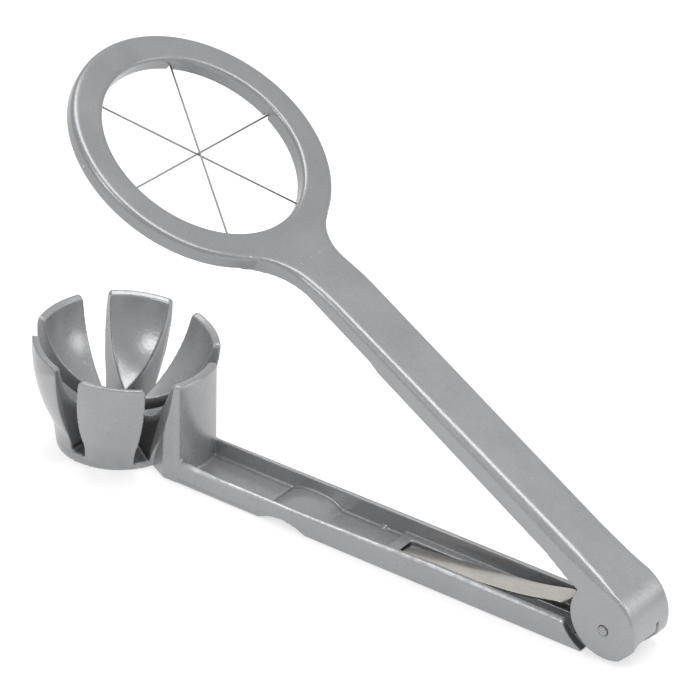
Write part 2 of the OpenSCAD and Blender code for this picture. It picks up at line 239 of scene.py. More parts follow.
def placePiece(piece, name, place, body, slot, material, *nodes):
    piece.name = piece.data.name = name
    piece.matrix_world = Matrix.Scale(0.001, 4) @ place
    pickOnly(piece)
    bpy.ops.object.transform_apply()
    bpy.ops.object.shade_smooth()
    piece.data.materials.clear()
    piece.data.materials.append(material)
    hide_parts(*nodes)
    if body:
        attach(piece, body)
    print(name, "has", countTriangles(piece), "triangles")
    return piece


# Finishes

noiseSpan = (0.3, 0.7)  # where most of a noise's values lie
fade = (1.0, 0.0)


def setInput(tree, socket, value):  # a number or a colour is set, and another socket is linked
    if isinstance(value, bpy.types.NodeSocket):
        tree.links.new(value, socket)
    else:
        socket.default_value = value


def shaderGroup(name, inputs, outputs):
    group = bpy.data.node_groups.new(name, "ShaderNodeTree")
    for label, value in inputs.items():
        socket = group.interface.new_socket(label, in_out="INPUT", socket_type="NodeSocketFloat")
        socket.default_value = value
    for label in outputs:
        group.interface.new_socket(label, in_out="OUTPUT", socket_type="NodeSocketFloat")
    return group, group.nodes.new("NodeGroupInput").outputs, group.nodes.new("NodeGroupOutput").inputs


def placeGroup(tree, group, inputs):
    node = tree.nodes.new("ShaderNodeGroup")
    node.node_tree = group
    for label, value in inputs.items():
        node.inputs[label].default_value = value
    return node.outputs


def objectSpot(tree):
    return tree.nodes.new("ShaderNodeTexCoord").outputs["Object"]


def splitSpot(tree, where):
    node = tree.nodes.new("ShaderNodeSeparateXYZ")
    tree.links.new(where, node.inputs[0])
    return node.outputs


def joinSpot(tree, *values):
    node = tree.nodes.new("ShaderNodeCombineXYZ")
    for socket, value in zip(node.inputs, values):
        setInput(tree, socket, value)
    return node.outputs[0]


def noiseNode(tree, where, scale, detail, rough):
    node = tree.nodes.new("ShaderNodeTexNoise")
    tree.links.new(where, node.inputs["Vector"])
    for label, value in (("Scale", scale), ("Detail", detail), ("Roughness", rough)):
        setInput(tree, node.inputs[label], value)
    return node.outputs["Fac"]


def mathNode(tree, how, *values):
    node = tree.nodes.new("ShaderNodeMath")
    node.operation = how
    for socket, value in zip(node.inputs, values):
        setInput(tree, socket, value)
    return node.outputs[0]


def vectorNode(tree, how, *values):
    node = tree.nodes.new("ShaderNodeVectorMath")
    node.operation = how
    for socket, value in zip(node.inputs, values):
        setInput(tree, socket, value)
    return node.outputs["Vector" if how == "MULTIPLY" else "Value"]


def rangeNode(tree, value, span, target=(0.0, 1.0)):
    node = tree.nodes.new("ShaderNodeMapRange")
    tree.links.new(value, node.inputs["Value"])
    for label, number in zip(("From Min", "From Max", "To Min", "To Max"), (*span, *target)):
        node.inputs[label].default_value = number
    return node.outputs[0]


def timesNode(tree, *values):
    result = values[0]
    for value in values[1:]:
        result = mathNode(tree, "MULTIPLY", result, value)
    return result


def mixTone(tree, share, first, second):
    node = tree.nodes.new("ShaderNodeMix")
    node.data_type = "RGBA"
    tree.links.new(share, node.inputs["Factor"])
    for label, value in (("A", first), ("B", second)):
        setInput(tree, node.inputs[label], (*value, 1) if isinstance(value, tuple) else value)
    return node.outputs["Result"]


grainLook = {"speckle": (3.0, 0.6), "cloud": (4.0, 0.55), "peel": (2.0, 0.5), "peelScale": 0.35, "speckleHeight": 0.6}


def buildGrain(look):  # speckle, cloud and bump shared by everything with a lacquered or drawn surface
    group, given, out = shaderGroup("surfaceGrain", {"Speckle Scale": 2600.0, "Cloud Scale": 60.0, "Stretch": 1.0},
                                    ("Speckle", "Cloud", "Height"))
    along = vectorNode(group, "MULTIPLY", objectSpot(group), joinSpot(group, given["Stretch"], 1.0, 1.0))
    speckle = noiseNode(group, along, given["Speckle Scale"], *look["speckle"])
    cloud = noiseNode(group, along, given["Cloud Scale"], *look["cloud"])
    peelScale = mathNode(group, "MULTIPLY", given["Speckle Scale"], look["peelScale"])
    peel = noiseNode(group, along, peelScale, *look["peel"])
    height = mathNode(group, "ADD", mathNode(group, "MULTIPLY", speckle, look["speckleHeight"]), peel)
    for label, value in (("Speckle", speckle), ("Cloud", cloud), ("Height", height)):
        group.links.new(value, out[label])
    return group


wearLook = {"raised": (0.6, 0.7), "patches": (3.0, 0.65), "broken": (0.42, 0.62), "brokenShare": (0.1, 1.0)}


def buildWear(look):  # rubbed spots along raised edges
    group, given, out = shaderGroup("rubbedEdges", {"Amount": 1.0, "Patch Scale": 420.0}, ("Mask",))
    raised = rangeNode(group, group.nodes.new("ShaderNodeNewGeometry").outputs["Pointiness"], look["raised"])
    patches = noiseNode(group, objectSpot(group), given["Patch Scale"], *look["patches"])
    broken = rangeNode(group, patches, look["broken"], look["brokenShare"])
    group.links.new(timesNode(group, raised, broken, given["Amount"]), out["Mask"])
    return group


paintedLightLook = {  # places in metres, each from one end of a soft border to the other
    "hingeRun": (0.128, 0.148), "hingeShare": (0.0, 0.75), "hingeHalf": (0.0079, 0.0083), "hingeTop": (0.0056, 0.0066),
    "bowlCentre": (0.0033, 0.0, 0.0342), "bowlSkin": (0.0239, 0.0253),
    "cupFoot": 0.005, "cupLean": 0.3, "cupReach": 0.0186, "cupSkin": (0.0012, 0.0015),
    "slotRun": (-0.004, 0.008), "slotShare": (0.3, 0.95), "slotFoot": (0.001, 0.003),
    "floorTop": (0.0044, 0.0052), "floorFoot": (0.001, 0.0015), "floorReach": (0.0164, 0.0168),
    "patches": (420.0, 4.0, 0.6), "patchSpan": (0.34, 0.62), "patchShare": (0.3, 0.9),
    "wallTop": (0.0052, 0.0059), "wallInside": (0.0073, 0.0076), "wallOutside": (0.0081, 0.0084),
    "wallStart": (0.029, 0.033), "wallStop": (0.15, 0.156),
}


def buildPaintedLight(look):  # painted shade at the hinge and in the slots, and a painted highlight along the near wall's top, worn bare in patches
    group, given, out = shaderGroup("paintedShadeAndHighlight", {"Amount": 0.8}, ("Mask", "Worn Highlight"))
    where = objectSpot(group)
    x, y, z = splitSpot(group, where)
    # painted shade at the channel's hinge end, under the upper arm's end
    hinge = timesNode(group, rangeNode(group, x, look["hingeRun"], look["hingeShare"]),
                      rangeNode(group, mathNode(group, "ABSOLUTE", y), look["hingeHalf"], fade),
                      rangeNode(group, z, look["hingeTop"], fade))
    # painted shade deep in the cup's slots and on the slot floors
    reach = vectorNode(group, "LENGTH", joinSpot(group, x, y))
    above = mathNode(group, "MAXIMUM", mathNode(group, "SUBTRACT", z, look["cupFoot"]), 0.0)
    outside = mathNode(group, "MULTIPLY_ADD", above, look["cupLean"], look["cupReach"])
    deep = rangeNode(group, mathNode(group, "SUBTRACT", outside, reach), look["cupSkin"])
    under = rangeNode(group, vectorNode(group, "DISTANCE", where, look["bowlCentre"]), look["bowlSkin"])
    sides = timesNode(group, rangeNode(group, x, look["slotRun"], look["slotShare"]),
                      rangeNode(group, z, look["slotFoot"]))
    floors = timesNode(group, rangeNode(group, z, look["floorTop"], fade), rangeNode(group, z, look["floorFoot"]),
                       rangeNode(group, reach, look["floorReach"], fade))
    slots = timesNode(group, deep, under, mathNode(group, "MAXIMUM", sides, floors))
    group.links.new(timesNode(group, mathNode(group, "MAXIMUM", hinge, slots), given["Amount"]), out["Mask"])
    # painted highlight along the near wall's outer top edge, broken up by worn patches
    patches = rangeNode(group, noiseNode(group, where, *look["patches"]), look["patchSpan"], look["patchShare"])
    nearSide = mathNode(group, "MULTIPLY", y, -1.0)
    wornHighlight = timesNode(group, rangeNode(group, z, look["wallTop"]), rangeNode(group, nearSide, look["wallInside"]),
                       rangeNode(group, nearSide, look["wallOutside"], fade), rangeNode(group, x, look["wallStart"]),
                       rangeNode(group, x, look["wallStop"], fade), patches)
    group.links.new(wornHighlight, out["Worn Highlight"])
    return group


def metalFinish(name, look, grain, wear, paintedLight=None):
    material = bpy.data.materials.new(name)
    material.use_nodes = True
    tree = material.node_tree
    shader = tree.nodes["Principled BSDF"]
    skin = placeGroup(tree, grain, {label: look[label] for label in ("Speckle Scale", "Cloud Scale", "Stretch")})
    share = mathNode(tree, "ADD", rangeNode(tree, skin["Speckle"], noiseSpan, (0.0, look["speckle"])),
                     rangeNode(tree, skin["Cloud"], noiseSpan, (0.0, 1.0 - look["speckle"])))
    tone = mixTone(tree, share, look["dark"], look["light"])
    if look.get("shade"):  # painted shade: the ring and neck are darker than the handle
        ringShade = rangeNode(tree, splitSpot(tree, objectSpot(tree))["X"], look["shadeRun"], (look["shade"], 0.0))
        tone = mixTone(tree, ringShade, tone, look["shadeTone"])
    tone = mixTone(tree, placeGroup(tree, wear, {"Amount": look["wear"]})["Mask"], tone, look["bare"])
    # a painted highlight on the near wall's worn top, then painted shade at the hinge and in the slots
    if paintedLight:
        paintedMarks = placeGroup(tree, paintedLight, {"Amount": look["paintedLight"]})
        tone = mixTone(tree, paintedMarks["Worn Highlight"], tone, look["wornHighlightTone"])
        tone = mixTone(tree, paintedMarks["Mask"], tone, look["paintedShadeTone"])
    tree.links.new(tone, shader.inputs["Base Color"])
    tree.links.new(rangeNode(tree, skin["Cloud"], noiseSpan, look["rough"]), shader.inputs["Roughness"])
    bump = tree.nodes.new("ShaderNodeBump")
    bump.inputs["Strength"].default_value = look["bump"]
    bump.inputs["Distance"].default_value = look["depth"]
    tree.links.new(skin["Height"], bump.inputs["Height"])
    tree.links.new(bump.outputs["Normal"], shader.inputs["Normal"])
    shader.inputs["Metallic"].default_value = look["metal"]
    shader.inputs["Coat Weight"].default_value = look["coat"]
    shader.inputs["Coat Roughness"].default_value = look["coatRough"]
    return material


finishLooks = {
    # shade, shadeRun and shadeTone paint shade over the ring and neck of the upper casting
    "satinLacquer": {"dark": (0.26, 0.264, 0.272), "light": (0.35, 0.354, 0.362), "bare": (0.56, 0.56, 0.57),
                     "wear": 0.55, "shade": 0.4, "shadeRun": (0.055, 0.1), "shadeTone": (0.18, 0.183, 0.19),
                     "rough": (0.26, 0.34), "metal": 0.55, "coat": 0.06, "coatRough": 0.2, "bump": 0.3,
                     "depth": 0.00012, "speckle": 0.7, "Speckle Scale": 2600.0, "Cloud Scale": 70.0, "Stretch": 1.0},
    "springSteel": {"dark": (0.54, 0.515, 0.485), "light": (0.78, 0.75, 0.71), "bare": (0.6, 0.58, 0.55), "wear": 0.2,
                    "rough": (0.18, 0.3), "metal": 1.0, "coat": 0.0, "coatRough": 0.1, "bump": 0.1, "depth": 0.00006,
                    "speckle": 0.25, "Speckle Scale": 2200.0, "Cloud Scale": 130.0, "Stretch": 0.4},
    "drawnWire": {"dark": (0.18, 0.18, 0.18), "light": (0.28, 0.28, 0.28), "bare": (0.3, 0.3, 0.3), "wear": 0.0,
                  "rough": (0.45, 0.55), "metal": 0.8, "coat": 0.0, "coatRough": 0.1, "bump": 0.1, "depth": 0.00004,
                  "speckle": 0.5, "Speckle Scale": 3200.0, "Cloud Scale": 200.0, "Stretch": 1.0},
    "groundPin": {"dark": (0.26, 0.26, 0.27), "light": (0.36, 0.36, 0.37), "bare": (0.5, 0.5, 0.5), "wear": 0.2,
                  "rough": (0.32, 0.42), "metal": 0.9, "coat": 0.0, "coatRough": 0.1, "bump": 0.15, "depth": 0.00005,
                  "speckle": 0.6, "Speckle Scale": 3000.0, "Cloud Scale": 300.0, "Stretch": 1.0},
}
# the lower lacquer paints shade at the hinge and in the slots, and a highlight along the near wall's worn top
lowerLook = dict(finishLooks["satinLacquer"], dark=(0.27, 0.274, 0.282), light=(0.355, 0.359, 0.367), shade=0.0,
                 metal=0.45, rough=(0.23, 0.31), paintedLight=0.85, wornHighlightTone=(0.7, 0.7, 0.71), paintedShadeTone=(0.05, 0.05, 0.05))
surfaceGrain = buildGrain(grainLook)
rubbedEdges = buildWear(wearLook)
finishes = {name: metalFinish(name, look, surfaceGrain, rubbedEdges) for name, look in finishLooks.items()}
finishes["lowerLacquer"] = metalFinish("lowerLacquer", lowerLook, surfaceGrain, rubbedEdges, buildPaintedLight(paintedLightLook))
print("finishes made:", ", ".join(finishes))

# Lower arm: the petal cup, the post, the channel and the knuckle, in one casting

lowerArm = {
    "reach": 161.0, "hingeZ": 8.9, "tilt": 5.5, "below": 4.0,
    "footRadius": 16.9, "footHeight": 7.0, "rimRadius": 25.1, "rimHeight": 31.6, "flareRadius": 46.7,
    "bowlRadius": 23.3, "bowlZ": 34.4, "lipRadius": 0.5, "rimSlope": 22.0,
    "slotFloor": 3.1, "slotLow": 2.25, "slotTop": 3.85, "slotTurns": (0, 60, 120), "petalRound": 1.5,
    "postFace": (2.98, 25.6), "postSide": 8.65, "postEdge": 1.6, "postFullX": 22.4, "postRoot": 5.1,
    "postCorner": (29.2, 1.8), "postTop": 45.0,
    "wallStations": (22.4, 30.0, 40.0, 55.0, 70.0, 85.0, 108.0, 130.0, 155.0), "wallFoot": (8.6, 0.5, 0.9),
    "wallHalf": ((28.0, 8.15), (70.0, 8.45), (110.0, 8.5)), "hollow": 7.0, "hollowMarks": (21.0, 54.0, 105.0, 156.0),
    "far": {"top": ((30.0, 6.7), (70.0, 6.75), (108.0, 6.9)), "round": ((30.0, 0.35), (110.0, 0.4)),
            "inner": ((54.0, 7.0), (105.0, 6.85))},
    "near": {"top": ((30.0, 6.7), (40.0, 6.1), (70.0, 6.1), (85.0, 6.4), (108.0, 6.9)),
             "round": ((30.0, 0.5), (70.0, 0.8), (110.0, 1.2)), "inner": ((54.0, 7.0), (105.0, 6.5))},
    "floors": ((21.0, 54.0, 2.0), (53.9, 90.5, 1.2), (90.4, 156.0, 2.5)), "footBlend": 2.5,
    "archX": 61.6, "archRise": 1.85, "archLength": 15.6, "archWall": 1.6,
    "pocket": (94.3, 153.1, 4.4, 0.75), "tuck": (91.3, 95.0, 3.85, 1.97), "wallEnd": (160.27, 11.71, 12.4),
    "nub": (84.0, 0.8, 1.8),
    "knuckleRadius": 6.7, "knuckleWidth": 12.2, "pinHole": 1.42,
    "skin": {"voxel": 0.3, "softness": 0.5, "passes": 4, "budget": 190000},
}


def cupOutline(size):
    lip, slope = size["lipRadius"], math.radians(size["rimSlope"])
    flareX = size["rimRadius"] - size["flareRadius"]
    waist, blend = size["footHeight"], size["footBlend"]
    waistX = flareX + math.sqrt(size["flareRadius"] ** 2 - (size["rimHeight"] - waist) ** 2)
    flareTurn = -math.degrees(math.asin((size["rimHeight"] - waist - blend) / size["flareRadius"]))
    flare = arc((flareX, size["rimHeight"]), size["flareRadius"], flareTurn, -0.6, 20)
    lean = (waistX - size["footRadius"]) / waist
    foot = softCorner((waistX - blend * lean, waist - blend), (waistX, waist), flare[0])
    rim = arc((size["rimRadius"] - lip, size["rimHeight"] - lip), lip, 0, 90 + size["rimSlope"], 8)
    browX, browZ = rim[-1][0], rim[-1][1] - size["bowlZ"]
    toward = -browX * math.cos(slope) - browZ * math.sin(slope)
    run = -toward - math.sqrt(toward ** 2 - browX ** 2 - browZ ** 2 + size["bowlRadius"] ** 2)  # rim down to bowl
    bowlTurn = math.degrees(math.atan2(browZ - run * math.sin(slope), browX - run * math.cos(slope)))
    bowl = arc((0.0, size["bowlZ"]), size["bowlRadius"], bowlTurn, -90, 24)
    below = size["below"]  # cut off level with the table once the cup is tilted
    return [(0.0, -below), (size["footRadius"] - below * lean, -below)] + foot + flare[1:] + rim + bowl


def makeCup(size):
    return turnedPiece([(r, 0.0, z) for r, z in cupOutline(size)], 120)


def makeBowlTool(size):
    pickNone()
    bpy.ops.mesh.primitive_uv_sphere_add(
        segments=96, ring_count=64, radius=size["bowlRadius"], location=(0, 0, size["bowlZ"]))
    return bpy.context.object


def makeSlotTool(size, angle):
    low, top, turn = size["slotLow"], size["slotTop"], size["petalRound"]
    corner = (top + turn, size["rimHeight"] - turn)
    right = [(low, size["slotFloor"])] + arc(corner, turn, 180, 90, 8) + [(corner[0], pastAll)]
    left = [(-x, z) for x, z in reversed(right)]
    return turned(sideBlock(right + left, 2 * pastAll), angle, "Z")


def makePost(size):
    side, edge = size["postSide"], size["postEdge"]
    faceX, faceRadius = size["postFace"]
    turn = math.asin((side - edge) / (faceRadius - edge))
    corner = (faceX + (faceRadius - edge) * math.cos(turn), side - edge)
    half = [(0.0, size["postRoot"]), (size["postFullX"] - 7.0, size["postRoot"]), (size["postFullX"], side)]
    half += arc(corner, edge, 90, math.degrees(turn), 6) + arc((faceX, 0.0), faceRadius, math.degrees(turn), 0, 10)[1:]
    plan = half + [(x, -y) for x, y in reversed(half[:-1])]
    post = planBlock(plan, 0.0, size["postTop"])
    rimX, rimZ, lip = size["rimRadius"], size["rimHeight"], size["lipRadius"]
    dip = (rimX - lip) * math.tan(math.radians(size["rimSlope"]))
    cap = [(0.0, -pastAll), (pastAll, -pastAll), (pastAll, rimZ + rimX - pastAll), (rimX, rimZ),
           (rimX - lip, rimZ - lip), (0.0, rimZ - lip - dip)]
    hood = turned(turnedPiece([(r, 0.0, z) for r, z in cap], 96), size["tilt"], "Y")
    carve(post, hood, "INTERSECT")
    top, bend = size["postCorner"]
    crown = [(side + 0.1, -1.0), (side + 0.1, top - bend)]
    crown += arc((side - bend, top - bend), bend, 0, 70, 6) + [(0.0, top + 3.0)]
    return carve(post, beamBlock(crown + [(-y, z) for y, z in reversed(crown[:-1])], -1.0, 40.0), "INTERSECT")


def wallSection(size, x):  # the channel's outside, with a far and a near wall
    foot, heel, rise = size["wallFoot"]
    half, outline = between(size["wallHalf"], x), []
    for name in ("far", "near"):
        top, bend = between(size[name]["top"], x), between(size[name]["round"], x)
        edge = arc((foot - heel, heel), heel, -90, 0, 4) + [(foot, rise), (half, rise + 0.4)]
        edge += arc((half - bend, top - bend), bend, 0, 90, 6)
        outline += edge if name == "far" else [(-y, z) for y, z in reversed(edge)]
    return [(x, y, z) for y, z in outline]


def makeChannel(size):
    half, far, near = size["wallFoot"][0], size["far"]["inner"], size["near"]["inner"]
    arm = bridged([wallSection(size, x) for x in size["wallStations"]])
    marks = size["hollowMarks"]
    plan = [(x, between(far, x)) for x in marks] + [(x, -between(near, x)) for x in reversed(marks)]
    carve(arm, planBlock(plan, size["floors"][-1][2], 20.0))
    for start, stop, floor in size["floors"][:-1]:
        carve(arm, block((start, 0.05 - between(near, stop), floor), (stop, between(far, stop) - 0.05, 4.0)))
    halfSpan, rise = size["archLength"] / 2, size["archRise"]
    notchRadius = (halfSpan ** 2 + rise ** 2) / (2 * rise)
    middle = (size["archX"], 0.0, rise - notchRadius)
    hump = rod(notchRadius + size["archWall"], 2 * size["hollow"] + 0.2, middle, acrossTurn, 180)
    carve(hump, block((size["archX"] - halfSpan + 1.0, -half, 0.3), (size["archX"] + halfSpan + 6.0, half, 6.0)),
          "INTERSECT")
    carve(arm, hump, "UNION")
    carve(arm, rod(notchRadius, pastAll, middle, acrossTurn, 180))
    nubX, nubRadius, nubTop = size["nub"]
    carve(arm, rod(nubRadius, nubTop, (nubX, between(far, nubX), nubTop / 2), sides=24), "UNION")
    endX, endZ, endRadius = size["wallEnd"]
    carve(arm, rod(endRadius, pastAll, (endX, 0.0, endZ), acrossTurn, 128))
    return arm


def makeKnuckle(size):
    reach, high, radius = size["reach"], size["hingeZ"], size["knuckleRadius"]
    eye = rod(radius, size["knuckleWidth"], (reach, 0.0, high), acrossTurn, 96)
    web = sideBlock([(reach - 17.0, 0.0), (reach - 8.0, 0.0), (reach - 2.0, high - radius + 0.3), (reach, high),
                     (reach - radius + 0.2, high), (reach - radius - 0.6, 5.0), (reach - 10.0, 2.5),
                     (reach - 17.0, 2.5)], size["knuckleWidth"])
    return carve(eye, web, "UNION")


def makeLowerCasting(size):
    cup = makeCup(size)
    for angle in size["slotTurns"]:
        carve(cup, makeSlotTool(size, angle))
    turned(cup, size["tilt"], "Y")
    post = makePost(size)
    carve(post, turned(makeBowlTool(size), size["tilt"], "Y"))
    for angle in size["slotTurns"]:
        carve(post, turned(makeSlotTool(size, angle), size["tilt"], "Y"))
    editAll(cup)
    bpy.ops.mesh.bisect(plane_co=(0, 0, 0), plane_no=(0, 0, 1), use_fill=True, clear_inner=True)
    faceOut()
    arm = makeChannel(size)
    carve(arm, makeKnuckle(size), "UNION")
    start, stop, side, floor = size["pocket"]
    carve(arm, block((start, -side, floor), (stop, side, 20.0)))
    tuckStart, tuckStop, tuckSide, tuckTop = size["tuck"]
    carve(arm, block((tuckStart, -tuckSide, floor), (tuckStop, tuckSide, tuckTop)))
    carve(arm, rod(size["pinHole"], pastAll, (size["reach"], 0.0, size["hingeZ"]), acrossTurn, 48))
    return castSkin(joined(cup, post, arm), size["skin"])


placePiece(makeLowerCasting(lowerArm), "lowerCasting", Matrix.Identity(4), "lower", "casting",
           finishes["lowerLacquer"], "lower_arm")

# Upper arm: the ring, the neck, the handle and its cheeks, in one casting

upperArm = {
    "openDeg": 31.3, "halfWidth": 8.5, "endCentre": (3.06, -1.9), "endRadius": 12.5,
    "topHinge": 10.6, "topNeck": 9.2, "neckS": 104.0,
    "edges": ((3.06, 1.0), (10.0, 2.2), (20.0, 2.8), (60.0, 2.4), (104.0, 1.8), (127.0, 1.45)),
    "ringS": 158.9, "ringIn": 28.0, "ringOut": 36.3, "ringLow": 2.2, "ringTop": 6.8,
    "ringEdges": {"inLow": 0.35, "outLow": 0.9, "outTop": 1.45, "inTop": 0.95}, "neckRadius": 14.7,
    "under": 3.95, "underStep": 0.65, "stepS": 86.0, "stepHalf": 2.0, "neckUnder": (127.5, 123.5, 111.5),
    "flank": (16.0, 3.2), "flankRun": 7.0,
    "cheek": (0.87, 2.77, 10.75), "heelFlat": 8.55,
    "cavityHalf": 6.4, "cavityRadius": 7.0, "cavityEnd": 26.0,
    "notch": (1.5, -2.2, 6.2, 3.2, 1.5), "slit": (5.5, 14.0, 2.4, 3.4, -5.0, 0.4),
    "pinHole": 1.4, "toe": (14.1, -2.2, 1.4, 2.2),
    "groove": 0.5, "pegHole": 1.25, "pegDepth": 2.7,
    "skin": {"voxel": 0.3, "softness": 0.5, "passes": 4, "budget": 190000},
}
cutWires = {"radius": 0.25, "length": 64.3, "low": 2.5, "step": 0.51, "angles": (30, 90, 150)}


def levelPoint(size, x, z):  # a point beside the hinge, level with the table, in the arm's own frame
    turn = math.radians(size["openDeg"])
    return (-x * math.cos(turn) + z * math.sin(turn), x * math.sin(turn) + z * math.cos(turn))


def makeRing(size):
    low, top, near, wide = size["ringLow"], size["ringTop"], size["ringIn"], size["ringOut"]
    e = size["ringEdges"]
    outline = arc((near + e["inLow"], low + e["inLow"]), e["inLow"], 180, 270, 4)
    outline += arc((wide - e["outLow"], low + e["outLow"]), e["outLow"], 270, 360, 6)
    outline += arc((wide - e["outTop"], top - e["outTop"]), e["outTop"], 0, 90, 8)
    outline += arc((near + e["inTop"], top - e["inTop"]), e["inTop"], 90, 180, 6)
    points = [(size["ringS"] + r, 0.0, n) for r, n in outline]
    return turnedPiece(points, 180, (size["ringS"], 0, 0), closed=True)


def handleSection(size, s, neckStart, neckEnd):
    half = size["halfWidth"]
    if s > neckStart:
        half += size["neckRadius"] - math.sqrt(size["neckRadius"] ** 2 - (s - neckStart) ** 2)
    endS, ringTop = size["endCentre"][0], size["ringTop"]
    top = size["topHinge"] + (size["topNeck"] - size["topHinge"]) * (s - endS) / (101.0 - endS)
    top += (ringTop - top) * blendStep((s - size["neckS"]) / (neckEnd - size["neckS"]))
    edge = between(size["edges"], s)
    upper = arc((half - edge, top - edge), edge, 0, 90, 8)
    upper += arc((edge - half, top - edge), edge, 90, 180, 8)
    return [(s, y, n) for y, n in [(half, -14.0)] + upper + [(-half, -14.0)]]


def makeHandle(size):
    reachOut = size["ringOut"] + size["neckRadius"]
    neckRun = math.sqrt(reachOut ** 2 - (size["halfWidth"] + size["neckRadius"]) ** 2)
    neckStart = size["ringS"] - neckRun
    neckEnd = size["ringS"] - neckRun * size["ringOut"] / reachOut
    stations = [size["endCentre"][0], 6.5, 10.0, 15.0, 20.0, 35.0, 60.0, 85.0, size["neckS"], 108.0, 111.0, neckStart]
    stations += [neckStart + (neckEnd + 0.2 - neckStart) * k / 8 for k in range(1, 9)]
    return bridged([handleSection(size, s, neckStart, neckEnd) for s in stations])


def makeHandleEnd(size):
    half, radius, edge = size["halfWidth"], size["endRadius"], size["edges"][0][1]
    outline = [(0.0, -half)] + arc((radius - edge, edge - half), edge, -90, 0, 8)
    outline += arc((radius - edge, half - edge), edge, 0, 90, 8) + [(0.0, half)]
    s, n = size["endCentre"]
    return turnedPiece([(s + r, y, n) for r, y in outline], 120, (s, 0, n), (0, 1, 0))


def sideOutline(size):  # the arm's side view, with the cheeks' round edge and the flat at its heel
    flankS, flankN = size["flank"]
    step, under = size["under"] + size["underStep"], size["under"]
    x, z, radius = size["cheek"]
    s, n = levelPoint(size, x, z)
    start = math.degrees(math.asin((flankN - n) / radius))
    past = (size["heelFlat"] * math.sqrt(2) - x + z) / math.sqrt(2)
    stop = -45.0 - math.degrees(math.acos(past / radius))  # where the round edge meets the flat, in the level view
    heel = (x + radius * math.cos(math.radians(stop)), z + radius * math.sin(math.radians(stop)))
    ringEnd, lowEnd, rampEnd = size["neckUnder"]
    outline = [(ringEnd, size["ringLow"]), (lowEnd, size["ringLow"]), (rampEnd, step),
               (size["stepS"] + size["stepHalf"], step), (size["stepS"] - size["stepHalf"], under),
               (flankS + size["flankRun"], under), (flankS, flankN)]
    outline += arc((s, n), radius, start, -180.0 - size["openDeg"] - stop, 28)
    outline += [levelPoint(size, heel[0] + 24.0, heel[1] + 24.0)]
    return outline + [(-14.0, 30.0), (ringEnd, 30.0)]


def levelTool(tool, size):  # a tool drawn level with the table, turned into the arm's own frame
    return turned(turned(tool, -size["openDeg"], "Y"), 180, "Z")


def makeNotch(size):
    start, top, near, far, bend = size["notch"]
    side = [(far, -30.0), (far, top)] + arc((bend - near, top - bend), bend, 90, 180, 6)
    return levelTool(beamBlock(side + [(-near, -30.0)], start, 40.0), size)


def makeToe(size):
    s, n, radius, width = size["toe"]
    outline = [(s - radius, n)] + arc((s, n), radius, 180, 315, 8)
    return sideBlock(outline + [(s + 9.0, size["under"] + 0.5), (s - radius, size["under"] + 1.5)], width)


def spreadAround(tool, size, angle):
    tool.matrix_world = (Matrix.Translation((size["ringS"], 0, 0))
                         @ Matrix.Rotation(math.radians(angle), 4, "Z") @ tool.matrix_world)
    pickOnly(tool)
    bpy.ops.object.transform_apply()
    return tool


def cutWireSeats(ring, size, wires):  # grooves for the wires' ends and holes for the pegs behind them
    middle = (size["ringIn"] + size["ringOut"]) / 2
    for k, angle in enumerate(wires["angles"]):
        top = wires["low"] + k * wires["step"] + wires["radius"] + 0.1
        for way in (0, 180):
            groove = block((size["ringIn"] - 2.0, -size["groove"], -5.0), (middle, size["groove"], top))
            carve(ring, spreadAround(groove, size, angle + way))
            hole = rod(size["pegHole"], 20.0, (middle, 0, size["ringLow"] + size["pegDepth"] - 10.0), sides=32)
            carve(ring, spreadAround(hole, size, angle + way))


def makeUpperCasting(size, wires):
    arm = carve(makeHandle(size), makeHandleEnd(size), "UNION")
    carve(arm, sideBlock(sideOutline(size), pastAll), "INTERSECT")
    half = size["cavityHalf"]
    carve(arm, rod(size["cavityRadius"], 2 * half, (0, 0, 0), acrossTurn, 96))
    carve(arm, block((0.0, -half, -30.0), (size["cavityEnd"], half, size["under"])))
    foot = [levelPoint(size, x, z) for x, z in ((-1.0, 0.0), (-40.0, 0.0), (-40.0, -40.0), (-1.0, -40.0))]
    carve(arm, sideBlock(foot, 2 * half))
    carve(arm, makeNotch(size))
    x0, x1, y0, y1, z0, z1 = size["slit"]
    carve(arm, levelTool(block((x0, y0, z0), (x1, y1, z1)), size))
    carve(arm, rod(size["pinHole"], pastAll, (0, 0, 0), acrossTurn, 48))
    ring = makeRing(size)
    cutWireSeats(ring, size, wires)
    return castSkin(joined(arm, ring, makeToe(size)), size["skin"])


armPlace = (Matrix.Translation((lowerArm["reach"], 0, lowerArm["hingeZ"]))
            @ Matrix.Rotation(math.radians(upperArm["openDeg"]), 4, "Y") @ Matrix.Rotation(math.pi, 4, "Z"))
placePiece(makeUpperCasting(upperArm, cutWires), "upperCasting", armPlace, "upper", "casting",
           finishes["satinLacquer"], "upper_arm")

# Leaf spring: a steel strip, bent along a line through a few points

leafSpring = {
    "bends": ((91.6, 1.07, 0.09), (109.5, 2.95, 0.118), (122.6, 4.45, 0.11), (131.0, 5.35, 0.125), (139.5, 6.95, 0.24),
              (143.6, 7.95, 0.2), (145.2, 8.12, -0.1), (146.15, 7.7, -0.9)),
    "width": 7.0, "thick": 0.6, "edge": 0.14, "tipRun": 1.5, "bendEnd": 120.0,
}


def springLine(bends, steps=10):
    line = []
    for (x0, z0, m0), (x1, z1, m1) in zip(bends, bends[1:]):
        run = x1 - x0
        for k in range(steps):
            t = k / steps
            z = ((2 * t ** 3 - 3 * t ** 2 + 1) * z0 + (t ** 3 - 2 * t ** 2 + t) * m0 * run
                 + (3 * t ** 2 - 2 * t ** 3) * z1 + (t ** 3 - t ** 2) * m1 * run)
            line.append((x0 + t * run, z))
    return line + [bends[-1][:2]]


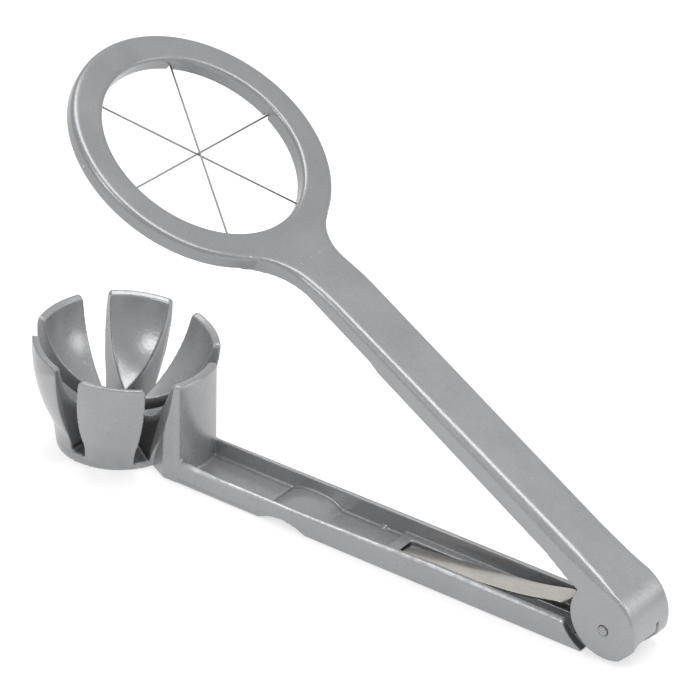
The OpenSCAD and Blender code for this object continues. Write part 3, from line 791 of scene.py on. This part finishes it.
def springSection(size, line, k):  # a rounded strip section, square to the strip's line
    x, z = line[k]
    before, after = line[max(k - 1, 0)], line[min(k + 1, len(line) - 1)]
    slope = math.atan2(after[1] - before[1], after[0] - before[0])
    past = max(0.0, 1.0 - (line[-1][0] - x) / size["tipRun"])
    half = size["width"] / 2 * (1.0 - (0.97 * past) ** 2.4) ** (1 / 2.4)
    edge, flat = size["edge"], size["thick"] / 2
    side = arc((half - edge, flat - edge), edge, 90, 0, 4) + arc((half - edge, edge - flat), edge, 0, -90, 4)
    loop = side + [(-y, h) for y, h in reversed(side)]
    return [(x - h * math.sin(slope), y, z + h * math.cos(slope)) for y, h in loop]


def makeSpring(size):
    line = springLine(size["bends"])
    return bridged([springSection(size, line, k) for k in range(len(line))])


spring = placePiece(makeSpring(leafSpring), "leafStrip", Matrix.Identity(4), None, "spring",
                    finishes["springSteel"], "leaf_spring")
pickOnly(spring)
bpy.ops.object.shade_smooth_by_angle(angle=math.radians(40))
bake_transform(spring)

# Cutting wires: three drawn wires that cross at the ring's centre

def makeWire(size, wires, k):
    height = wires["low"] + k * wires["step"]
    wire = rod(wires["radius"], wires["length"], (0, 0, height), (0, math.pi / 2, 0), 16)
    useModifier(wire, "BEVEL", width=0.05, segments=1, limit_method="ANGLE", angle_limit=math.radians(60))
    return spreadAround(wire, size, wires["angles"][k])


for k in range(3):
    placePiece(makeWire(upperArm, cutWires, k), "cutWire%d" % (k + 1), armPlace, "upper", "wire",
               finishes["drawnWire"], "wire_%d" % (k + 1))

# Pieces that keep their shape and get a finish

pinNodes = ("hinge_pin", "anchor_1a", "anchor_1b", "anchor_2a", "anchor_2b", "anchor_3a", "anchor_3b")
for nodeName in pinNodes:
    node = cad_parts[nodeName]
    node.data.materials.clear()
    node.data.materials.append(finishes["groundPin"])
print("pegs and pin finished")

# Floor, light and camera

stage = {"floorSize": 6.0, "floorTone": (0.45, 0.45, 0.45), "floorGlow": 0.6, "sky": 0.72}


def makeFloor(look):
    pickNone()
    bpy.ops.mesh.primitive_plane_add(size=look["floorSize"], location=(0, 0, -0.00005))
    floor = bpy.context.object
    floor.name = "floor"
    material = bpy.data.materials.new("paleFloor")
    material.use_nodes = True
    shader = material.node_tree.nodes["Principled BSDF"]
    shader.inputs["Base Color"].default_value = (*look["floorTone"], 1)
    shader.inputs["Roughness"].default_value = 0.9
    shader.inputs["Specular IOR Level"].default_value = 0.1
    shader.inputs["Emission Color"].default_value = (1, 1, 1, 1)
    shader.inputs["Emission Strength"].default_value = look["floorGlow"]
    floor.data.materials.append(material)


def makeSky(look):
    world = bpy.data.worlds.new("studioSky")
    world.use_nodes = True
    world.node_tree.nodes["Background"].inputs["Color"].default_value = (1, 1, 1, 1)
    world.node_tree.nodes["Background"].inputs["Strength"].default_value = look["sky"]
    bpy.context.scene.world = world


lamps = {
    "overhead": {"place": (0.14, 0.18, 1.05), "aim": (0.14, 0.18, 0.0), "size": (1.7, 0.58), "power": 11.2},
    "frontLeft": {"place": (-0.02, -0.5, 0.47), "aim": (0.0, 0.0, 0.03), "size": (0.2, 0.2), "power": 0.8},
    "rightBack": {"place": (0.62, 0.35, 0.3), "aim": (0.0, 0.0, 0.03), "size": (0.25, 0.25), "power": 0.6},
}


def makeLamp(name, look):
    pickNone()
    bpy.ops.object.light_add(type="AREA", location=look["place"])
    lamp = bpy.context.object
    lamp.name = name
    lamp.data.shape = "RECTANGLE"
    lamp.data.size, lamp.data.size_y = look["size"]
    lamp.data.energy = look["power"]
    lamp.rotation_euler = (Vector(look["aim"]) - Vector(look["place"])).to_track_quat("-Z", "Y").to_euler()


viewPoint = {"azimuth": 35.663, "elevation": 29.355, "roll": 1.729, "target": (0.07595, 0.0, 0.05416),
             "distance": 0.9796, "lens": 199.33}


def makeCamera(look):
    turn, rise, roll = (math.radians(look[k]) for k in ("azimuth", "elevation", "roll"))
    right = Vector((math.cos(turn), math.sin(turn), 0))
    back = Vector((math.sin(turn) * math.cos(rise), -math.cos(turn) * math.cos(rise), math.sin(rise)))
    up = back.cross(right)
    rolledRight = right * math.cos(roll) + up * math.sin(roll)
    rolledUp = up * math.cos(roll) - right * math.sin(roll)
    place = Vector(look["target"]) + back * look["distance"]
    pickNone()
    bpy.ops.object.camera_add(location=place)
    camera = bpy.context.object
    camera.matrix_world = Matrix((rolledRight, rolledUp, back)).transposed().to_4x4()
    camera.location = place
    camera.data.sensor_width = 36.0
    camera.data.lens = look["lens"]
    bpy.context.scene.camera = camera


makeFloor(stage)
makeSky(stage)
for lampName, lampLook in lamps.items():
    makeLamp(lampName, lampLook)
makeCamera(viewPoint)
bpy.context.scene.view_settings.view_transform = "Standard"
print("stage, light and camera set")
